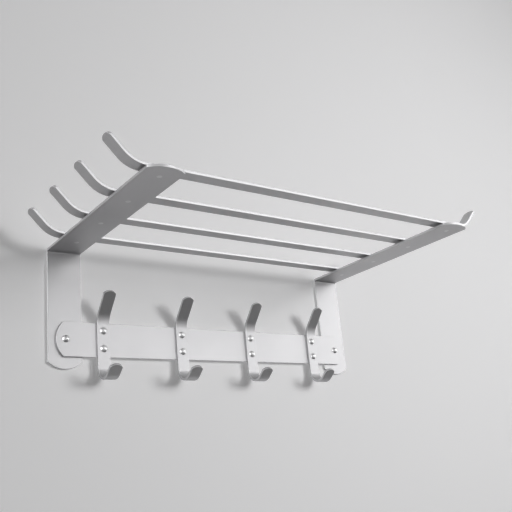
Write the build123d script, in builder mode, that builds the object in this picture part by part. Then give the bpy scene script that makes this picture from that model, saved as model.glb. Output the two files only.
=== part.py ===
"""A wall shelf for towels, with a rail of double hooks under it.

Everything is bent from flat aluminium bar and riveted. Two L-shaped brackets lie with their legs on the
wall. Their arms carry the shelf bars, which are turned up at both ends and held off the arms by the
shoulders of their rivets. A rail runs across the front of the legs and carries the double hooks. One
dome-headed pin at each end of the rail goes through the rail and the leg into the wall.

Millimetres and degrees. X runs along the rail, Y into the wall and Z up. The wall's face is Y = 0, and
the origin lies on it, midway between the two wall pins.
"""

import os

from build123d import *

os.makedirs("parts", exist_ok=True)

# The stock left beyond each end of a bar until the end is cut to its arc
end_waste = 2.0

# Brackets: height from the foot to the top of the arm, reach from the wall to the front of the arm
bracket_spacing = 400.0
bracket_width = 40.0
bracket_thickness = 3.0
bracket_height = 139.0
bracket_reach = 256.0
bracket_bend_radius = 2.0
bracket_tip_depth = 7.9
arm_height = 105.4

# Shelf bars: the row runs from a distance off the wall to one off the arm's front, the flat reaches past
# the middle of each arm by its overhang, and the upturn's length is its straight part
shelf_bar_count = 4
shelf_bar_width = 15.0
shelf_bar_thickness = 3.0
shelf_bar_from_wall = 40.5
shelf_bar_from_front = 21.4
shelf_bar_flat_overhang = 16.3
shelf_bar_bend_radius = 28.8
shelf_bar_upturn_angle = 46.5
shelf_bar_upturn_length = 22.5
shelf_bar_tip_depth = 3.4

# Hook rail: its ends reach past the middle of each leg by the overhang
rail_height = 40.0
rail_thickness = 3.0
rail_overhang = 11.5
rail_tip_depth = 8.7

# Hooks: the straight back reaches above and below the middle of the rail, and all radii are inside ones
hook_count = 4
hook_pitch = 104.0
hook_width = 15.0
hook_thickness = 3.0
hook_back_above = 16.5
hook_back_below = 32.0
hook_arm_bend_radius = 22.0
hook_arm_angle = 40.9
hook_arm_length = 27.7
hook_curl_radius = 13.0
hook_curl_angle = 130.0
hook_lip_length = 14.0
hook_tip_depth = 3.9

# Rivets: a shelf rivet's shoulder holds the bar off the arm and its set end stands a little proud under the
# arm, and a hook rivet's tail is flush
shelf_rivet_shoulder_radius = 5.0
shelf_rivet_shoulder_height = 2.5
shelf_rivet_radius = 2.75
shelf_rivet_proud = 0.3
hook_rivet_radius = 2.0
hook_rivet_head_radius = 4.25
hook_rivet_head_height = 2.5
hook_rivet_spacing = 20.7

# Wall pins: the neck fills the holes in rail and leg, and the thinner shank goes into the wall
pin_head_radius = 4.25
pin_head_height = 2.5
pin_neck_radius = 3.0
pin_shank_radius = 2.5
pin_depth_in_wall = 36.0

# Radial clearance of rivets and pins in their holes
hole_clearance = 0.05

# Faces and rows that pieces share
leg_front = -bracket_thickness
rail_front = leg_front - rail_thickness
hook_front = rail_front - hook_thickness
bracket_xs = [-bracket_spacing / 2, bracket_spacing / 2]
shelf_bar_pitch = (bracket_reach - shelf_bar_from_wall - shelf_bar_from_front) / (shelf_bar_count - 1)
shelf_bar_underside = arm_height + shelf_rivet_shoulder_height
shelf_bar_ys = [-shelf_bar_from_wall - shelf_bar_pitch * i for i in range(shelf_bar_count)]
hook_xs = [hook_pitch * (i - (hook_count - 1) / 2) for i in range(hook_count)]
hook_rivet_zs = [-hook_rivet_spacing / 2, hook_rivet_spacing / 2]
hook_rivet_hole_radius = hook_rivet_radius + hole_clearance
shelf_rivet_hole_radius = shelf_rivet_radius + hole_clearance
pin_hole_radius = pin_neck_radius + hole_clearance

x_way = Vector(1, 0, 0)
y_way = Vector(0, 1, 0)
z_way = Vector(0, 0, 1)


def sweep_bar(centreline, across, width, thickness):
    """Sweep the section of a flat bar along the bar's centreline."""
    start = Plane(origin=centreline @ 0, x_dir=across, z_dir=centreline % 0)
    with BuildSketch(start) as section:
        Rectangle(width, thickness)
    sweep(section.sketch, path=centreline)


def cut_tip(stock_end, outward, across, width, thickness, depth):
    """Cut a bar's square end to an arc that runs from one edge over the tip to the other."""
    tip = Plane(origin=stock_end - outward * end_waste, x_dir=across, z_dir=across.cross(outward))
    corner = width / 2
    beside = corner + end_waste
    beyond = 2 * end_waste
    with BuildSketch(tip) as waste:
        with BuildLine():
            ThreePointArc((-corner, -depth), (0, 0), (corner, -depth))
            Polyline(
                (corner, -depth),
                (beside, -depth),
                (beside, beyond),
                (-beside, beyond),
                (-beside, -depth),
                (-corner, -depth),
            )
        make_face()
    extrude(waste.sketch, amount=thickness, both=True, mode=Mode.SUBTRACT)


def make_bar(centreline, across, width, thickness, tip_depth):
    """Make a whole bar: its swept length, and the arc at each end."""
    sweep_bar(centreline, across, width, thickness)
    cut_tip(centreline @ 0, -(centreline % 0), across, width, thickness, tip_depth)
    cut_tip(centreline @ 1, centreline % 1, across, width, thickness, tip_depth)


def drill(place, outward, radius, depth):
    """Drill a hole from a point on a face that looks outward."""
    with Locations(Plane(origin=place, z_dir=outward)):
        Hole(radius, depth)


# Brackets: the leg rises from the foot, and the arm comes out from the wall
for side, x in zip(["left", "right"], bracket_xs):
    with BuildPart() as bracket:
        with BuildLine(Plane.YZ.offset(x)) as bracket_line:
            FilletPolyline(
                (leg_front / 2, arm_height - bracket_height - end_waste),
                (leg_front / 2, arm_height - bracket_thickness / 2),
                (-bracket_reach - end_waste, arm_height - bracket_thickness / 2),
                radius=bracket_bend_radius + bracket_thickness / 2,
            )
        make_bar(bracket_line.wire(), x_way, bracket_width, bracket_thickness, bracket_tip_depth)
        drill((x, leg_front, 0), -y_way, pin_hole_radius, bracket_thickness)
        for y in shelf_bar_ys:
            drill((x, y, arm_height), z_way, shelf_rivet_hole_radius, bracket_thickness)
    bracket.part.label = f"{side}_bracket"
    export_step(bracket.part, f"parts/{side}_bracket.step")

# Shelf bars, counted from the wall: flat above both arms and turned up at both ends. Each is one solid with
# its two rivets, which stand on the arms with their shoulders and go down through them.
for number, y in enumerate(shelf_bar_ys, start=1):
    with BuildPart() as shelf_bar:
        bend_radius = shelf_bar_bend_radius + shelf_bar_thickness / 2
        with BuildLine(Plane.XZ.offset(-y)) as shelf_bar_line:
            flat_end = bracket_spacing / 2 + shelf_bar_flat_overhang
            flat_height = shelf_bar_underside + shelf_bar_thickness / 2
            flat = Line((-flat_end, flat_height), (flat_end, flat_height))
            for end, way in [(1, 1), (0, -1)]:
                bend = JernArc(flat @ end, (flat % end) * way, bend_radius, way * shelf_bar_upturn_angle)
                Line(bend @ 1, bend @ 1 + (bend % 1) * (shelf_bar_upturn_length + end_waste))
        make_bar(shelf_bar_line.wire(), y_way, shelf_bar_width, shelf_bar_thickness, shelf_bar_tip_depth)
        rivet_places = [(x, y) for x in bracket_xs]
        with BuildSketch(Plane.XY.offset(shelf_bar_underside)):
            with Locations(*rivet_places):
                Circle(shelf_rivet_shoulder_radius)
        extrude(amount=-shelf_rivet_shoulder_height)
        with BuildSketch(Plane.XY.offset(arm_height)):
            with Locations(*rivet_places):
                Circle(shelf_rivet_radius)
        extrude(amount=-bracket_thickness - shelf_rivet_proud)
    shelf_bar.part.label = f"shelf_bar_{number}"
    export_step(shelf_bar.part, f"parts/shelf_bar_{number}.step")

# Hook rail: straight across the front of both legs
with BuildPart() as hook_rail:
    rail_end = bracket_spacing / 2 + rail_overhang + end_waste
    rail_middle = leg_front - rail_thickness / 2
    with BuildLine() as rail_line:
        Line((-rail_end, rail_middle), (rail_end, rail_middle))
    make_bar(rail_line.wire(), z_way, rail_height, rail_thickness, rail_tip_depth)
    for x in bracket_xs:
        drill((x, rail_front, 0), -y_way, pin_hole_radius, rail_thickness)
    for x in hook_xs:
        for z in hook_rivet_zs:
            drill((x, rail_front, z), -y_way, hook_rivet_hole_radius, rail_thickness)
hook_rail.part.label = "hook_rail"
export_step(hook_rail.part, "parts/hook_rail.step")

# Hooks, counted from the left: an arm that leans out, a straight back on the rail, and a curl below
for number, x in enumerate(hook_xs, start=1):
    with BuildPart() as hook:
        hook_middle = rail_front - hook_thickness / 2
        with BuildLine(Plane.YZ.offset(x)) as hook_line:
            back = Line((hook_middle, -hook_back_below), (hook_middle, hook_back_above))
            bend = JernArc(back @ 1, back % 1, hook_arm_bend_radius + hook_thickness / 2, hook_arm_angle)
            Line(bend @ 1, bend @ 1 + (bend % 1) * (hook_arm_length + end_waste))
            curl = JernArc(back @ 0, -(back % 0), hook_curl_radius + hook_thickness / 2, -hook_curl_angle)
            Line(curl @ 1, curl @ 1 + (curl % 1) * (hook_lip_length + end_waste))
        make_bar(hook_line.wire(), x_way, hook_width, hook_thickness, hook_tip_depth)
        for z in hook_rivet_zs:
            drill((x, hook_front, z), -y_way, hook_rivet_hole_radius, hook_thickness)
    hook.part.label = f"hook_{number}"
    export_step(hook.part, f"parts/hook_{number}.step")

# Hook rivets: a domed head on the hook, and a shank through hook and rail with its tail set flush
hook_rivet_seats = [
    Plane(origin=(x, hook_front, z), z_dir=-y_way) for x in hook_xs for z in hook_rivet_zs
]
hook_grip = hook_thickness + rail_thickness
with BuildPart() as hook_rivet:
    with BuildSketch(Plane.XZ):
        with BuildLine():
            TangentArc((0, hook_rivet_head_height), (hook_rivet_head_radius, 0), tangent=(1, 0))
            Polyline(
                (hook_rivet_head_radius, 0),
                (hook_rivet_radius, 0),
                (hook_rivet_radius, -hook_grip),
                (0, -hook_grip),
                (0, hook_rivet_head_height),
            )
        make_face()
    revolve(axis=Axis.Z)
with BuildPart() as hook_rivets:
    with Locations(*hook_rivet_seats):
        add(hook_rivet.part)
hook_rivets.part.label = "hook_rivets"
export_step(hook_rivets.part, "parts/hook_rivets.step")

# Wall pins: the same head as the hook rivets, a neck through rail and leg, and a shank into the wall
pin_seats = [Plane(origin=(x, rail_front, 0), z_dir=-y_way) for x in bracket_xs]
pin_neck_length = rail_thickness + bracket_thickness
pin_length = pin_neck_length + pin_depth_in_wall
with BuildPart() as wall_pin:
    with BuildSketch(Plane.XZ):
        with BuildLine():
            TangentArc((0, pin_head_height), (pin_head_radius, 0), tangent=(1, 0))
            Polyline(
                (pin_head_radius, 0),
                (pin_neck_radius, 0),
                (pin_neck_radius, -pin_neck_length),
                (pin_shank_radius, -pin_neck_length),
                (pin_shank_radius, -pin_length),
                (0, -pin_length),
                (0, pin_head_height),
            )
        make_face()
    revolve(axis=Axis.Z)
with BuildPart() as wall_pins:
    with Locations(*pin_seats):
        add(wall_pin.part)
wall_pins.part.label = "wall_pins"
export_step(wall_pins.part, "parts/wall_pins.step")
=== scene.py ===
# %% [markdown]
# # A wall shelf for towels, with a rail of double hooks
#
# The real shelf is bent from flat aluminium bar with a satin anodised finish, and riveted together. Two
# L-shaped brackets carry four shelf bars, and a rail across their legs carries four double hooks. The
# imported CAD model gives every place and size, and this lesson gives each bar its softened edges, the rivets
# their turned shape and the metal its finish, without leaving the CAD model's box.

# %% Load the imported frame
import math

import bmesh
import bpy
from mathutils import Matrix, Vector


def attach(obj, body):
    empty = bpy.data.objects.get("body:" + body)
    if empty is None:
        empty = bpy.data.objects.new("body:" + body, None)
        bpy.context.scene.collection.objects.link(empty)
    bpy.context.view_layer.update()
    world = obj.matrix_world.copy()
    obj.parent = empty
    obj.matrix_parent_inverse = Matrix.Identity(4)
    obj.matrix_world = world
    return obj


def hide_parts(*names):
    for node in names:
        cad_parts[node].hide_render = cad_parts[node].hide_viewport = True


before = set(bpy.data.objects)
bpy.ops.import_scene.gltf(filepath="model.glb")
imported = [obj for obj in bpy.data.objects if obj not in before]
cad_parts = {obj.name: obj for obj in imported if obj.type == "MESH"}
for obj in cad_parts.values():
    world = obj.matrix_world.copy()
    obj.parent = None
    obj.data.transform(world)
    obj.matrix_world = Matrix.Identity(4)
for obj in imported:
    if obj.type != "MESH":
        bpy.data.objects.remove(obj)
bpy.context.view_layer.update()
mm = 0.001
print("nodes:", ", ".join(sorted(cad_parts)))

# %% [markdown]
# ## A short way to write node trees
#
# A node tree can be drawn by hand or written down. Written down, each node needs a call to make it, one for
# each value and one for each link, so a small helper keeps the trees below readable: an input is either a
# plain value, which is set on the socket, or a socket of another node, which is linked.


# %% Node helpers
def set_inputs(tree, node, inputs):
    """Set or link a node's inputs, given as {name or number: a plain value or another node's socket}."""
    for key, value in dict(inputs).items():
        if isinstance(value, bpy.types.NodeSocket):
            tree.links.new(value, node.inputs[key])
        else:
            node.inputs[key].default_value = value


def add_node(tree, kind, inputs=(), **settings):
    """Add a node, choose its settings, and give it its inputs."""
    node = tree.nodes.new(kind)
    for name, value in settings.items():
        setattr(node, name, value)
    set_inputs(tree, node, inputs)
    return node


def calc(tree, operation, first, second=0.0):
    """One step of arithmetic between numbers."""
    return add_node(tree, "ShaderNodeMath", {0: first, 1: second}, operation=operation).outputs[0]


def vector_calc(tree, operation, first, second):
    """One step of arithmetic between vectors. SCALE takes a vector and a number."""
    key = "Scale" if operation == "SCALE" else 1
    node = add_node(tree, "ShaderNodeVectorMath", {0: first, key: second}, operation=operation)
    return node.outputs[0]


def new_geometry_tree(name, inputs):
    """Start a Geometry Nodes tree with named inputs, and return it with its input node's sockets."""
    tree = bpy.data.node_groups.new(name, "GeometryNodeTree")
    for label, kind in inputs.items():
        tree.interface.new_socket(label, in_out="INPUT", socket_type=kind)
    tree.interface.new_socket("Geometry", in_out="OUTPUT", socket_type="NodeSocketGeometry")
    sockets = tree.nodes.new("NodeGroupInput").outputs
    return tree, sockets


def finish_tree(tree, geometry, finish, sides=None, side_finish=None):
    """End a tree in Realize Instances and Set Material, so that it gives a plain painted mesh."""
    smooth = add_node(tree, "GeometryNodeSetShadeSmooth", {"Geometry": geometry})
    real = add_node(tree, "GeometryNodeRealizeInstances", {"Geometry": smooth.outputs[0]})
    painted = add_node(tree, "GeometryNodeSetMaterial", {"Geometry": real.outputs[0], "Material": finish})
    if sides:
        chosen = {"Geometry": painted.outputs[0], "Selection": sides, "Material": side_finish}
        painted = add_node(tree, "GeometryNodeSetMaterial", chosen)
    add_node(tree, "NodeGroupOutput", {0: painted.outputs[0]})


def add_tree(piece, tree, values):
    """Put a tree on a piece as a modifier, and set its inputs by their identifiers."""
    modifier = piece.modifiers.new(tree.name, "NODES")
    modifier.node_group = tree
    inputs = [item for item in tree.interface.items_tree if item.in_out == "INPUT"]
    identifiers = {item.name: item.identifier for item in inputs}
    for name, value in values.items():
        modifier[identifiers[name]] = value


def settle(piece):
    """Turn a piece's modifiers into a plain mesh, and drop the empty slot that such a mesh starts with."""
    graph = bpy.context.evaluated_depsgraph_get()
    old = piece.data
    mesh = bpy.data.meshes.new_from_object(piece.evaluated_get(graph))
    piece.modifiers.clear()
    piece.data = mesh
    bpy.data.meshes.remove(old)
    mesh.name = piece.name
    mesh.materials.pop(index=0)
    return len(mesh.polygons)


print("node helpers ready")

# %% [markdown]
# ## The satin finish
#
# Anodised flat bar is etched before it is anodised, which leaves an even, fine, silvery grain. Faint lines
# from the drawing die still run along the bar. An image of metal could be wrapped around each bar, but its
# grain would stretch and repeat. Noise does better: long noise on the bar's own UV map, which is in metres
# along and across the bar, gives the die lines, and fine noise on Object coordinates gives the grain. Both
# move the roughness and a shallow bump.


# %% Metal helpers
def new_metal(name):
    """Start a bare metal, and return it with its node tree."""
    material = bpy.data.materials.new(name)
    material.use_nodes = True
    material.node_tree.nodes["Principled BSDF"].inputs["Metallic"].default_value = 1.0
    return material, material.node_tree


def noise(tree, vector, scale, detail):
    """Noise at a scale, on coordinates in metres."""
    inputs = {"Vector": vector, "Scale": scale, "Detail": detail}
    return add_node(tree, "ShaderNodeTexNoise", inputs).outputs[0]


def blend(tree, first, second, share):
    """A share of the first noise, with the rest from the second."""
    return calc(tree, "ADD", calc(tree, "MULTIPLY", first, share), calc(tree, "MULTIPLY", second, 1 - share))


def make_uneven(tree, tone, dark, light, surface, smoothest, roughest, bump):
    """Let one noise move a metal's tone, and another its roughness and its relief."""
    ramp = add_node(tree, "ShaderNodeValToRGB", {0: tone})
    for stop, position, colour in zip(ramp.color_ramp.elements, noise_range, (dark, light)):
        stop.position = position
        stop.color = (*colour, 1.0)
    spread = {0: surface, 1: noise_range[0], 2: noise_range[1], 3: smoothest, 4: roughest}
    relief = {"Height": surface, "Strength": bump, "Distance": relief_depth}
    set_inputs(tree, tree.nodes["Principled BSDF"], {
        "Base Color": ramp.outputs[0],
        "Roughness": add_node(tree, "ShaderNodeMapRange", spread).outputs[0],
        "Normal": add_node(tree, "ShaderNodeBump", relief).outputs[0],
    })


noise_range = (0.3, 0.7)
relief_depth = 0.05 * mm
print("noise from", noise_range[0], "to", noise_range[1], "moves each finish")


# %% Satin aluminium
def satin_aluminium(name, dark, light, smoothest, roughest, bump):
    """Silvery metal with die lines along the bar, an etched grain, and a slow drift in its tone."""
    material, tree = new_metal(name)
    along = add_node(tree, "ShaderNodeUVMap", uv_map="strip").outputs[0]
    place = add_node(tree, "ShaderNodeTexCoord").outputs["Object"]
    stretched = add_node(tree, "ShaderNodeMapping", {"Vector": along, "Scale": die_line_scale}).outputs[0]
    lines = noise(tree, stretched, scale=1.0, detail=3.0)
    grain = noise(tree, place, grain_scale, detail=2.0)
    drift = noise(tree, place, drift_scale, detail=3.0)
    surface = blend(tree, lines, grain, line_share)
    tone = blend(tree, drift, surface, drift_share)
    make_uneven(tree, tone, dark, light, surface, smoothest, roughest, bump)
    print(name, "roughness", smoothest, "to", roughest)
    return material


die_line_scale = (5.0, 1400.0, 1.0)
grain_scale = 2600.0
drift_scale = 14.0
line_share = 0.45
drift_share = 0.6
satin = satin_aluminium(
    "satin_anodised",
    dark=(0.476, 0.473, 0.482),
    light=(0.526, 0.523, 0.532),
    smoothest=0.42,
    roughest=0.54,
    bump=0.25,
)
# The edges and narrow sides get a brighter, smoother copy of the finish: partly linished metal, partly a
# painted highlight
edge = satin_aluminium(
    "softened_edge_painted_highlight",
    dark=(0.525, 0.525, 0.535),
    light=(0.575, 0.575, 0.585),
    smoothest=0.36,
    roughest=0.48,
    bump=0.10,
)

# %% [markdown]
# ## The pressed rivets
#
# The heads of the rivets and pins are pressed from wire and not anodised, so they are a little brighter
# than the bars, with an uneven, soft shine. Rings from the setting tool could be cut into the mesh, but
# they are far finer than a pixel, and a ring texture would need each rivet's own middle. Fine noise on
# Object coordinates is enough: it moves the roughness and the tone a little, and the turned shape does the
# rest.


# %% Pressed metal
def pressed_metal(name, dark, light, smoothest, roughest):
    """Bright pressed metal with an uneven, soft shine."""
    material, tree = new_metal(name)
    place = add_node(tree, "ShaderNodeTexCoord").outputs["Object"]
    shine = noise(tree, place, shine_scale, detail=4.0)
    make_uneven(tree, shine, dark, light, shine, smoothest, roughest, shine_bump)
    print(name, "roughness", smoothest, "to", roughest)
    return material


shine_scale = 900.0
shine_bump = 0.08
rivet_metal = pressed_metal(
    "pressed_rivet", dark=(0.64, 0.64, 0.645), light=(0.72, 0.72, 0.725), smoothest=0.36, roughest=0.46
)
pin_metal = pressed_metal(
    "pressed_pin", dark=(0.62, 0.62, 0.625), light=(0.70, 0.70, 0.705), smoothest=0.34, roughest=0.44
)
set_metal = pressed_metal(
    "rivet_set_end", dark=(0.58, 0.58, 0.585), light=(0.65, 0.65, 0.655), smoothest=0.36, roughest=0.46
)

# %% [markdown]
# ## One tree for every bent bar
#
# Brackets, shelf bars, rail and hooks are all the same thing: a flat bar that follows a bent line, with
# both ends cut to an arc. Each could be modelled by hand or extruded along a curve, but a curve twists its
# section as it likes. Here a Geometry Nodes tree lays a grid along the centreline instead. Each row of the
# grid sits on one point of the line, and reads there which way the bar is heading. The first and last rows
# are drawn back along an arc, and then the sheet gets its thickness. The tree also stores how far along and
# across the bar each point lies, as a UV map in metres, which is what the finish reads.


# %% Grids and arcs
def numbered_grid(tree, rows, columns):
    """A grid to be moved into shape, with the row and the column of each of its points."""
    grid = add_node(tree, "GeometryNodeMeshGrid", {"Vertices X": rows, "Vertices Y": columns}).outputs[0]
    index = add_node(tree, "GeometryNodeInputIndex").outputs[0]
    row = calc(tree, "FLOOR", calc(tree, "DIVIDE", index, columns))
    column = calc(tree, "SUBTRACT", index, calc(tree, "MULTIPLY", row, columns))
    return grid, row, column


def shallow_arc(tree, half_width, depth):
    """The radius of an arc, from its half width and depth, and the angle that it spans to each side."""
    squares = calc(tree, "ADD", calc(tree, "POWER", half_width, 2.0), calc(tree, "POWER", depth, 2.0))
    radius = calc(tree, "DIVIDE", squares, calc(tree, "MULTIPLY", depth, 2.0))
    return radius, calc(tree, "ARCSINE", calc(tree, "DIVIDE", half_width, radius))


weld = 0.002 * mm
print("points closer than", weld, "become one")


# %% The bent bar tree
def make_bar_tree():
    """A flat bar along a line of points that carry their heading and their run along the bar."""
    tree, given = new_geometry_tree("bent_bar", {
        "Centreline": "NodeSocketGeometry",
        "Across": "NodeSocketVector",
        "Width": "NodeSocketFloat",
        "Thickness": "NodeSocketFloat",
        "Tip Depth": "NodeSocketFloat",
        "Columns": "NodeSocketInt",
        "Finish": "NodeSocketMaterial",
        "Edge Finish And Painted Highlight": "NodeSocketMaterial",
    })
    line = given["Centreline"]
    count = add_node(tree, "GeometryNodeAttributeDomainSize", {0: line}).outputs["Point Count"]
    grid, row, column = numbered_grid(tree, count, given["Columns"])

    def on_line(value, kind):
        inputs = {"Geometry": line, "Value": value, "Index": row}
        return add_node(tree, "GeometryNodeSampleIndex", inputs, data_type=kind).outputs[0]

    def store(geometry, name, value, kind, domain="POINT"):
        inputs = {"Geometry": geometry, "Name": name, "Value": value}
        node = add_node(tree, "GeometryNodeStoreNamedAttribute", inputs, data_type=kind, domain=domain)
        return node.outputs[0]

    def stored(name, kind):
        return add_node(tree, "GeometryNodeInputNamedAttribute", {"Name": name}, data_type=kind).outputs[0]

    point = on_line(add_node(tree, "GeometryNodeInputPosition").outputs[0], "FLOAT_VECTOR")
    heading = on_line(stored("heading", "FLOAT_VECTOR"), "FLOAT_VECTOR")
    run = on_line(stored("run", "FLOAT"), "FLOAT")

    # The columns are spread over the arc of a tip, which draws each one back at the first and last rows
    radius, span = shallow_arc(tree, calc(tree, "MULTIPLY", given["Width"], 0.5), given["Tip Depth"])
    last_column = calc(tree, "SUBTRACT", given["Columns"], 1.0)
    twice = calc(tree, "DIVIDE", calc(tree, "MULTIPLY", column, 2.0), last_column)
    angle = calc(tree, "MULTIPLY", calc(tree, "SUBTRACT", twice, 1.0), span)
    offset = calc(tree, "MULTIPLY", radius, calc(tree, "SINE", angle))
    drawn = calc(tree, "SUBTRACT", radius, calc(tree, "MULTIPLY", radius, calc(tree, "COSINE", angle)))
    first = calc(tree, "LESS_THAN", row, 0.5)
    last = calc(tree, "GREATER_THAN", row, calc(tree, "SUBTRACT", count, 1.5))
    shift = calc(tree, "MULTIPLY", drawn, calc(tree, "SUBTRACT", first, last))

    # The back sheet lies half the thickness under the line, and its copy is lifted by the whole thickness
    upward = vector_calc(tree, "CROSS_PRODUCT", given["Across"], heading)
    middle = vector_calc(tree, "ADD", point, vector_calc(tree, "SCALE", given["Across"], offset))
    middle = vector_calc(tree, "ADD", middle, vector_calc(tree, "SCALE", heading, shift))
    sunk = calc(tree, "MULTIPLY", given["Thickness"], -0.5)
    back = vector_calc(tree, "ADD", middle, vector_calc(tree, "SCALE", upward, sunk))
    flat = add_node(tree, "ShaderNodeCombineXYZ", {0: calc(tree, "ADD", run, shift), 1: offset}).outputs[0]
    lift = vector_calc(tree, "SCALE", upward, given["Thickness"])
    sheet = store(grid, "lift", lift, "FLOAT_VECTOR")
    sheet = store(sheet, "strip", flat, "FLOAT2", domain="CORNER")
    sheet = add_node(tree, "GeometryNodeSetPosition", {"Geometry": sheet, "Position": back}).outputs[0]
    unlifted = {"Mesh": sheet, "Offset Scale": 0.0, "Individual": False}
    raised = add_node(tree, "GeometryNodeExtrudeMesh", unlifted)
    top = {"Geometry": raised.outputs["Mesh"], "Selection": raised.outputs["Top"]}
    top["Offset"] = stored("lift", "FLOAT_VECTOR")
    solid = add_node(tree, "GeometryNodeSetPosition", top).outputs[0]
    under = add_node(tree, "GeometryNodeFlipFaces", {"Mesh": sheet}).outputs[0]
    both = add_node(tree, "GeometryNodeJoinGeometry")
    tree.links.new(solid, both.inputs[0])
    tree.links.new(under, both.inputs[0])
    closed = add_node(tree, "GeometryNodeMergeByDistance", {"Geometry": both.outputs[0], "Distance": weld})
    clean = add_node(tree, "GeometryNodeRemoveAttribute", {"Geometry": closed.outputs[0], "Name": "lift"})
    # The narrow sides take the edge finish, which carries a painted highlight
    finish_tree(tree, clean.outputs[0], given["Finish"], raised.outputs["Side"], given["Edge Finish And Painted Highlight"])
    return tree


bar_tree = make_bar_tree()
print("bent_bar:", len(bar_tree.nodes), "nodes")

# %% [markdown]
# ## The bending line
#
# A bender works from a list: so much straight, then a bend of such a radius and angle, then straight again.
# The centreline is written the same way, so the numbers below read like a bending plan. A bend's radius is
# that of the bar's middle: its inside radius and half the thickness. Points are needed only at the ends of
# the straight runs and every few degrees round a bend. Each point keeps its heading, because a heading
# worked out later from neighbouring points would lean over at the start and end of each bend.


# %% Centrelines and bars
def centreline(start, heading, axis, runs):
    """Points along a bar. A run is a length, or an (angle, radius) bend about the axis."""
    points = [(Vector(start), Vector(heading), 0.0)]
    for item in runs:
        place, way, run = points[-1]
        if not isinstance(item, tuple):
            points.append((place + way * item, way, run + item))
            continue
        angle, radius = item
        middle = place + Vector(axis).cross(way) * radius * math.copysign(1, angle)
        steps = max(fewest_steps, math.ceil(abs(angle) / degrees_per_step))
        for step in range(1, steps + 1):
            turn = Matrix.Rotation(math.radians(angle) * step / steps, 3, axis)
            length = math.radians(abs(angle)) * radius * step / steps
            points.append((middle + turn @ (place - middle), turn @ way, run + length))
    return points


def make_bar(name, node, line, across, width, tip_depth, columns):
    """Make a bar on its centreline, soften its edges, and let it stand for its CAD node."""
    tip = tip_depth + tip_margin
    place, way, run = line[0]
    line.insert(1, (place + way * tip, way, run + tip))
    place, way, run = line[-1]
    line.insert(-1, (place - way * tip, way, run - tip))
    mesh = bpy.data.meshes.new(name)
    mesh.from_pydata([place for place, way, run in line], [(i, i + 1) for i in range(len(line) - 1)], [])
    headings = mesh.attributes.new("heading", "FLOAT_VECTOR", "POINT")
    headings.data.foreach_set("vector", [part for place, way, run in line for part in way])
    runs = mesh.attributes.new("run", "FLOAT", "POINT")
    runs.data.foreach_set("value", [run for place, way, run in line])
    bar = bpy.data.objects.new(name, mesh)
    bpy.context.scene.collection.objects.link(bar)
    add_tree(bar, bar_tree, {
        "Across": across,
        "Width": width,
        "Thickness": thickness,
        "Tip Depth": tip_depth,
        "Columns": columns,
        "Finish": satin,
        "Edge Finish And Painted Highlight": edge,
    })
    soften = bar.modifiers.new("softened_edges", "BEVEL")
    soften.width = edge_radius
    soften.segments = edge_segments
    soften.limit_method = "ANGLE"
    soften.angle_limit = sharpest_left
    # The softened edges take the edge finish, which carries a painted highlight
    soften.material = edge_slot
    shade = bar.modifiers.new("flat_faces_stay_flat", "WEIGHTED_NORMAL")
    shade.weight = 100
    faces = settle(bar)
    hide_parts(node)
    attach(bar, "root")
    print(f"{name}: {faces} faces on {len(line)} points")
    return bar


fewest_steps = 6
degrees_per_step = 4
tip_margin = 1 * mm
edge_radius = 0.35 * mm
edge_segments = 3
edge_slot = 2
sharpest_left = math.radians(25)
thickness = 3 * mm
print("bars", thickness, "thick, edges softened by", edge_radius)

# %% [markdown]
# ## The two brackets
#
# Each bracket is a wide bar with one tight bend. Its leg lies flat on the wall, and its arm comes straight
# out to carry the shelf. The foot and the front of the arm are cut to a shallow arc.

# %% Brackets
bracket_spacing = 400 * mm
wide_bar = 40 * mm
wide_columns = 25
arm_top = 105.4 * mm
bracket_height = 139 * mm
foot = arm_top - bracket_height
reach = 256 * mm
bracket_tip = 7.9 * mm
bracket_bend = 2 * mm + thickness / 2
bracket_xs = {"left": -bracket_spacing / 2, "right": bracket_spacing / 2}
leg = arm_top - thickness / 2 - bracket_bend - foot
arm = reach - thickness / 2 - bracket_bend
for side, x in bracket_xs.items():
    line = centreline((x, -thickness / 2, foot), (0, 0, 1), (1, 0, 0), [leg, (90, bracket_bend), arm])
    make_bar(f"{side}_bracket_bar", f"{side}_bracket", line, (1, 0, 0), wide_bar, bracket_tip, wide_columns)

# %% [markdown]
# ## The shelf bars
#
# Four narrow bars cross both arms, and each end is turned up so that nothing slides off the side. The bars
# don't touch the arms: the shoulder of each rivet holds them a little way off, which leaves a dark gap.
# Only one bar needs to be drawn: the others are the same bar further from the wall.

# %% Shelf bars
narrow_bar = 15 * mm
narrow_columns = 17
shoulder = 2.5 * mm
overhang = 16.3 * mm
flat_length = bracket_spacing + 2 * overhang
upturn = 22.5 * mm
upturn_bend = 28.8 * mm + thickness / 2
upturn_degrees = 46.5
upturn_tip = 3.4 * mm
first_bar = 40.5 * mm
bar_pitch = 64.7 * mm
shelf_ys = [-first_bar - bar_pitch * i for i in range(4)]
upturn_angle = math.radians(upturn_degrees)
rise = upturn_bend * (1 - math.cos(upturn_angle)) + upturn * math.sin(upturn_angle)
half_span = flat_length / 2 + upturn_bend * math.sin(upturn_angle) + upturn * math.cos(upturn_angle)
heading = (math.cos(upturn_angle), 0, -math.sin(upturn_angle))
bend = (-upturn_degrees, upturn_bend)
for number, y in enumerate(shelf_ys, start=1):
    start = (-half_span, y, arm_top + shoulder + thickness / 2 + rise)
    line = centreline(start, heading, (0, 1, 0), [upturn, bend, flat_length, bend, upturn])
    node = f"shelf_bar_{number}"
    make_bar(f"{node}_strip", node, line, (0, 1, 0), narrow_bar, upturn_tip, narrow_columns)

# %% [markdown]
# ## The rail and its hooks
#
# The rail is a plain wide bar across the front of both legs. Each hook is one narrow bar: the lip of the
# lower curl, the curl itself, a straight back on the rail, and an upper arm that leans out from the wall.

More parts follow.
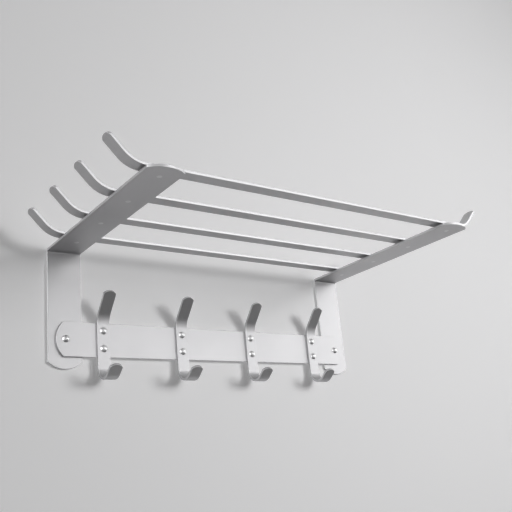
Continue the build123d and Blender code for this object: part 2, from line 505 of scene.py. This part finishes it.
# %% Hook rail
rail_length = 423 * mm
rail_tip = 8.7 * mm
rail_middle = -1.5 * thickness
line = centreline((-rail_length / 2, rail_middle, 0), (1, 0, 0), (0, 0, 1), [rail_length])
make_bar("hook_rail_bar", "hook_rail", line, (0, 0, 1), wide_bar, rail_tip, wide_columns)

# %% Hooks
hook_pitch = 104 * mm
hook_xs = [hook_pitch * (i - 1.5) for i in range(4)]
lip = 14 * mm
curl_bend = 13 * mm + thickness / 2
curl_degrees = 130
back_bottom = -32 * mm
back_top = 16.5 * mm
back_middle = -2.5 * thickness
arm_bend = 22 * mm + thickness / 2
arm_degrees = 40.9
arm_length = 27.7 * mm
hook_tip = 3.9 * mm
curl_angle = math.radians(curl_degrees)
lip_heading = Vector((0, -math.sin(curl_angle), -math.cos(curl_angle)))
lip_start_y = back_middle - curl_bend * (1 - math.cos(curl_angle)) + lip_heading.y * lip
lip_start_z = back_bottom - curl_bend * math.sin(curl_angle) + lip_heading.z * lip
runs = [lip, (curl_degrees, curl_bend), back_top - back_bottom, (arm_degrees, arm_bend), arm_length]
for number, x in enumerate(hook_xs, start=1):
    line = centreline((x, lip_start_y, lip_start_z), -lip_heading, (1, 0, 0), runs)
    node = f"hook_{number}"
    make_bar(f"{node}_bar", node, line, (1, 0, 0), narrow_bar, hook_tip, narrow_columns)

# %% [markdown]
# ## One tree for every rivet and pin
#
# A rivet is a turned shape: a domed head, a neck, and a shank. It could be spun from a drawn outline, but
# then every size of fastener would need its own drawing. This tree turns the outline from six named sizes.
# Each row of a grid is one circle round the axis: the first rows climb down the dome, and the last five are
# the corners below it. The finished fastener is set on every seat, with its head turned to face outwards.


# %% The fastener tree
def make_fastener_tree():
    """A dome-headed fastener on each point of the seats, its head facing one way."""
    tree, given = new_geometry_tree("dome_fastener", {
        "Seats": "NodeSocketGeometry",
        "Head Faces": "NodeSocketVector",
        "Head Radius": "NodeSocketFloat",
        "Head Height": "NodeSocketFloat",
        "Neck Radius": "NodeSocketFloat",
        "Neck Length": "NodeSocketFloat",
        "Shank Radius": "NodeSocketFloat",
        "Shank Length": "NodeSocketFloat",
        "Finish": "NodeSocketMaterial",
    })
    rings, sides, corners = 10, 40, 5
    grid, row, column = numbered_grid(tree, rings + 1 + corners, sides + 1)

    # The dome is a slice of a ball, so its radius follows from the head's radius and height
    ball, rim = shallow_arc(tree, given["Head Radius"], given["Head Height"])
    tilt = calc(tree, "MULTIPLY", rim, calc(tree, "DIVIDE", row, rings))
    dome_radius = calc(tree, "MULTIPLY", ball, calc(tree, "SINE", tilt))
    dome_height = calc(tree, "MULTIPLY", ball, calc(tree, "COSINE", tilt))
    dome_height = calc(tree, "ADD", dome_height, calc(tree, "SUBTRACT", given["Head Height"], ball))
    neck_end = calc(tree, "MULTIPLY", given["Neck Length"], -1.0)
    tail = calc(tree, "SUBTRACT", neck_end, given["Shank Length"])
    corner = calc(tree, "MAXIMUM", calc(tree, "SUBTRACT", row, rings), 0.0)

    def pick(values):
        switch = add_node(tree, "GeometryNodeIndexSwitch", data_type="FLOAT")
        while len(switch.index_switch_items) < len(values):
            switch.index_switch_items.new()
        set_inputs(tree, switch, {0: corner, **dict(enumerate(values, start=1))})
        return switch.outputs[0]

    neck, shank = given["Neck Radius"], given["Shank Radius"]
    out = pick([dome_radius, neck, neck, shank, shank, 0.0])
    up = pick([dome_height, 0.0, neck_end, neck_end, tail, tail])
    turn = calc(tree, "MULTIPLY", column, math.tau / sides)
    place = add_node(tree, "ShaderNodeCombineXYZ", {
        "X": calc(tree, "MULTIPLY", out, calc(tree, "COSINE", turn)),
        "Y": calc(tree, "MULTIPLY", out, calc(tree, "SINE", turn)),
        "Z": up,
    }).outputs[0]
    turned = add_node(tree, "GeometryNodeSetPosition", {"Geometry": grid, "Position": place}).outputs[0]
    closed = add_node(tree, "GeometryNodeMergeByDistance", {"Geometry": turned, "Distance": weld})
    facing = add_node(tree, "FunctionNodeAlignRotationToVector", {"Vector": given["Head Faces"]}, axis="Z")
    spread = {"Points": given["Seats"], "Instance": closed.outputs[0], "Rotation": facing.outputs[0]}
    placed = add_node(tree, "GeometryNodeInstanceOnPoints", spread)
    finish_tree(tree, placed.outputs[0], given["Finish"])
    return tree


fastener_tree = make_fastener_tree()
print("dome_fastener:", len(fastener_tree.nodes), "nodes")


# %% Setting fasteners
def set_fasteners(name, seats, facing, head, neck, shank, finish):
    """Set a fastener on each seat, as one mesh. Head, neck and shank each have a radius and a length."""
    mesh = bpy.data.meshes.new(name)
    mesh.from_pydata(seats, [], [])
    piece = bpy.data.objects.new(name, mesh)
    bpy.context.scene.collection.objects.link(piece)
    add_tree(piece, fastener_tree, {
        "Head Faces": facing,
        "Head Radius": head[0],
        "Head Height": head[1],
        "Neck Radius": neck[0],
        "Neck Length": neck[1],
        "Shank Radius": shank[0],
        "Shank Length": shank[1],
        "Finish": finish,
    })
    settle(piece)
    shell = bmesh.new()
    shell.from_mesh(piece.data)
    bmesh.ops.dissolve_degenerate(shell, edges=shell.edges[:], dist=weld / 2)
    bmesh.ops.recalc_face_normals(shell, faces=shell.faces[:])
    shell.to_mesh(piece.data)
    shell.free()
    piece.data.shade_smooth()
    piece.data.set_sharp_from_angle(angle=crease_angle)
    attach(piece, "root")
    print(f"{name}: {len(seats)} set, {len(piece.data.polygons)} faces")
    return piece


crease_angle = math.radians(35)
dome_head = (4.25 * mm, 2.5 * mm)
forwards = (0, -1, 0)
downwards = (0, 0, -1)
print("dome heads: radius", dome_head[0], "height", dome_head[1])

# %% [markdown]
# ## Rivets and wall pins in their places
#
# Two rivets hold each hook on the rail. Their heads stand on the hook, and their tails lie flush behind the
# rail. Where a shelf bar crosses an arm, the set end of a rivet shows as a low disc under the arm, and its
# wide shoulder fills the gap above. At each end of the rail a pin with the same kind of head goes deep into
# the wall.

# %% Hook rivets
rivet_spacing = 20.7 * mm
hook_front = -3 * thickness
seats = [(x, hook_front, z) for x in hook_xs for z in (-rivet_spacing / 2, rivet_spacing / 2)]
neck = (2 * mm, 2 * thickness)
flush_tail = (2 * mm, 0.02 * mm)
hook_rivets = set_fasteners(
    "hook_rivet_set", seats, forwards, dome_head, neck, flush_tail, rivet_metal
)
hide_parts("hook_rivets")

# %% Shelf rivets
arm_underside = arm_top - thickness
seats = [(x, y, arm_underside) for x in bracket_xs.values() for y in shelf_ys]
set_end = (2.75 * mm, 0.3 * mm)
neck = (2.5 * mm, thickness)
bedding = 0.05 * mm
rivet_shoulder = (5 * mm, shoulder + bedding)
set_fasteners("shelf_rivet_set", seats, downwards, set_end, neck, rivet_shoulder, set_metal)

# %% Wall pins
rail_front = -2 * thickness
seats = [(x, rail_front, 0) for x in bracket_xs.values()]
neck = (3 * mm, 2 * thickness)
shank = (2.5 * mm, 36 * mm)
wall_pins = set_fasteners("wall_pin_pair", seats, forwards, dome_head, neck, shank, pin_metal)
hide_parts("wall_pins")

# %% [markdown]
# ## The wall and the floor
#
# The shelf hangs on a plain pale wall. A wall would hide the shelf from behind, so this one shows only its
# front: where a ray meets its back, the material is clear, and it casts no shadow. It is clear too for the
# short rays that start on the backs of the legs, which would otherwise look black from behind. The floor is
# far below, as in a room. Both glow a little, but only for the rays that show them to the camera or in the
# metal, so the glow adds no light to the room. The floor's glow fades under the shelf into a painted shade:
# the hooks' arms face that part of the floor, and are dark in the photograph.


# %% Paint helpers
def seen(tree):
    """One for rays that show a surface to the camera or in metal, none for rays that light a surface."""
    rays = add_node(tree, "ShaderNodeLightPath").outputs
    reflected = calc(tree, "MAXIMUM", rays["Is Glossy Ray"], rays["Is Transmission Ray"])
    return calc(tree, "MAXIMUM", rays["Is Camera Ray"], reflected)


def matt_paint(name, colour):
    """Plain matt paint, returned with its node tree and its shader."""
    material = bpy.data.materials.new(name)
    material.use_nodes = True
    tree = material.node_tree
    shader = tree.nodes["Principled BSDF"]
    set_inputs(tree, shader, {"Base Color": (*colour, 1.0), "Roughness": 0.9, "Specular IOR Level": 0.2})
    return material, tree, shader


def rectangle(left, right, low, high):
    """The corners of a rectangle, in their order round it."""
    return [(left, low), (right, low), (right, high), (left, high)]


def make_plane(name, corners, material):
    """A flat four-cornered sheet of the stage."""
    mesh = bpy.data.meshes.new(name)
    mesh.from_pydata(corners, [], [(0, 1, 2, 3)])
    mesh.materials.append(material)
    sheet = bpy.data.objects.new(name, mesh)
    bpy.context.scene.collection.objects.link(sheet)
    return sheet


floor_level = -1.65
print("floor at", floor_level)

# %% Wall
wall_glow = 0.18
clear_within = 8 * mm
wall_paint, tree, shader = matt_paint("wall_paint", (0.91, 0.905, 0.915))
set_inputs(tree, shader, {"Emission Strength": calc(tree, "MULTIPLY", seen(tree), wall_glow)})
behind = add_node(tree, "ShaderNodeNewGeometry").outputs["Backfacing"]
ray_length = add_node(tree, "ShaderNodeLightPath").outputs["Ray Length"]
unseen = calc(tree, "MAXIMUM", behind, calc(tree, "LESS_THAN", ray_length, clear_within))
clear = add_node(tree, "ShaderNodeBsdfTransparent").outputs[0]
mix = add_node(tree, "ShaderNodeMixShader", {0: unseen, 1: shader.outputs[0], 2: clear})
set_inputs(tree, tree.nodes["Material Output"], {"Surface": mix.outputs[0]})

wall_face = 0.2 * mm
wall_side = 1.5
wall_top = 1.5
wall_corners = [(x, wall_face, z) for x, z in rectangle(-wall_side, wall_side, floor_level, wall_top)]
wall = make_plane("wall", wall_corners, wall_paint)
wall.visible_shadow = False
print("wall at", wall_face)

# %% Floor
floor_glow = 0.60
painted_shade_glow = 0.05
shade_start = 2.1
shade_end = 3.8
under_shelf = (0.0, -0.15, floor_level)
floor_paint, tree, shader = matt_paint("floor_paint", (0.48, 0.48, 0.48))
place = add_node(tree, "ShaderNodeTexCoord").outputs["Object"]
# The glow fades to a painted shade on the floor round the point under the shelf
apart = add_node(tree, "ShaderNodeVectorMath", {0: place, 1: under_shelf}, operation="DISTANCE")
fade = {0: apart.outputs["Value"], 1: shade_start, 2: shade_end, 3: painted_shade_glow, 4: floor_glow}
level = add_node(tree, "ShaderNodeMapRange", fade, interpolation_type="SMOOTHSTEP").outputs[0]
set_inputs(tree, shader, {"Emission Strength": calc(tree, "MULTIPLY", seen(tree), level)})

floor_side = 8
floor_outline = rectangle(-floor_side, floor_side, -floor_side, floor_side)
make_plane("floor", [(x, y, floor_level) for x, y in floor_outline], floor_paint)
print("floor glows", floor_glow, "and", painted_shade_glow, "under the shelf")

# %% [markdown]
# ## Light
#
# Satin metal looks like whatever stands round it, so its lamps are broad: one to the right, one in front
# and one to the left, all a little above the rail. Broad lamps on every side would wash the shadows off the
# wall, so the two at the sides shine on the metal alone, and a small key lamp, which shines on the wall
# alone, throws the hooks' shadows to the left. Each lamp has a grid that keeps much of its light off the
# floor. The sky gives hardly any light, but the camera and the metal see it pale, which keeps the
# undersides from going black.


# %% Lamps
def soft_lamp(name, place, aim, width, height, power, on_metal=True, on_wall=True):
    """A rectangular softbox that points at a place, with a grid that narrows its light."""
    lamp = bpy.data.lights.new(name, "AREA")
    lamp.shape = "RECTANGLE"
    lamp.size = width
    lamp.size_y = height
    lamp.energy = power
    lamp.spread = grid_angle
    holder = bpy.data.objects.new(name, lamp)
    holder.location = place
    holder.rotation_euler = (Vector(aim) - Vector(place)).to_track_quat("-Z", "Y").to_euler()
    holder.visible_camera = False
    holder.visible_glossy = on_metal
    holder.visible_diffuse = on_wall
    bpy.context.scene.collection.objects.link(holder)
    print(name, power, "W")


grid_angle = math.radians(110)
rail_aim = (0.0, -0.05, 0.05)
shelf_aim = (0.0, -0.10, 0.05)
wall_aim = (0.0, 0.0, 0.05)
soft_lamp("right_lamp", (2.20, -0.90, 0.30), rail_aim, width=1.2, height=1.4, power=6.0, on_wall=False)
soft_lamp("front_lamp", (1.00, -2.05, 0.62), rail_aim, width=1.4, height=1.0, power=4.0)
soft_lamp("left_lamp", (-2.20, -0.60, 0.30), shelf_aim, width=1.4, height=1.4, power=13.0, on_wall=False)
soft_lamp("key_lamp", (1.25, -1.65, 0.34), wall_aim, width=0.6, height=0.6, power=5.6, on_metal=False)

# %% Sky
dim_sky = 0.04
pale_sky = 0.66
world = bpy.data.worlds.new("sky")
bpy.context.scene.world = world
world.use_nodes = True
tree = world.node_tree
level = add_node(tree, "ShaderNodeMix", {0: seen(tree), 2: dim_sky, 3: pale_sky}).outputs[0]
set_inputs(tree, tree.nodes["Background"], {"Color": (1.0, 1.0, 1.0, 1.0), "Strength": level})
print("sky", dim_sky, "as light,", pale_sky, "as seen")

# %% [markdown]
# ## The camera
#
# The photograph was taken from below and to the left, a little over a metre away, with the camera held a
# few degrees off level. A point on the wall sets where it looks, and the roll is added about its own axis.

# %% Camera and view
camera = bpy.data.cameras.new("camera")
camera.sensor_width = 36.0
camera.lens = 52.24
camera.clip_start = 0.01
eye = Vector((-0.51526, -0.78557, -0.18424))
look_at = Vector((0.08056, 0.0, 0.13052))
roll = math.radians(5.566)
ahead = (look_at - eye).normalized()
level_right = ahead.cross(Vector((0, 0, 1))).normalized()
level_up = level_right.cross(ahead)
right = level_right * math.cos(roll) - level_up * math.sin(roll)
up = level_up * math.cos(roll) + level_right * math.sin(roll)
holder = bpy.data.objects.new("camera", camera)
holder.matrix_world = Matrix((
    (right.x, up.x, -ahead.x, eye.x),
    (right.y, up.y, -ahead.y, eye.y),
    (right.z, up.z, -ahead.z, eye.z),
    (0, 0, 0, 1),
))
bpy.context.scene.collection.objects.link(holder)
bpy.context.scene.camera = holder
bpy.context.scene.view_settings.view_transform = "Standard"
print("camera right", [round(v, 4) for v in right], "up", [round(v, 4) for v in up])
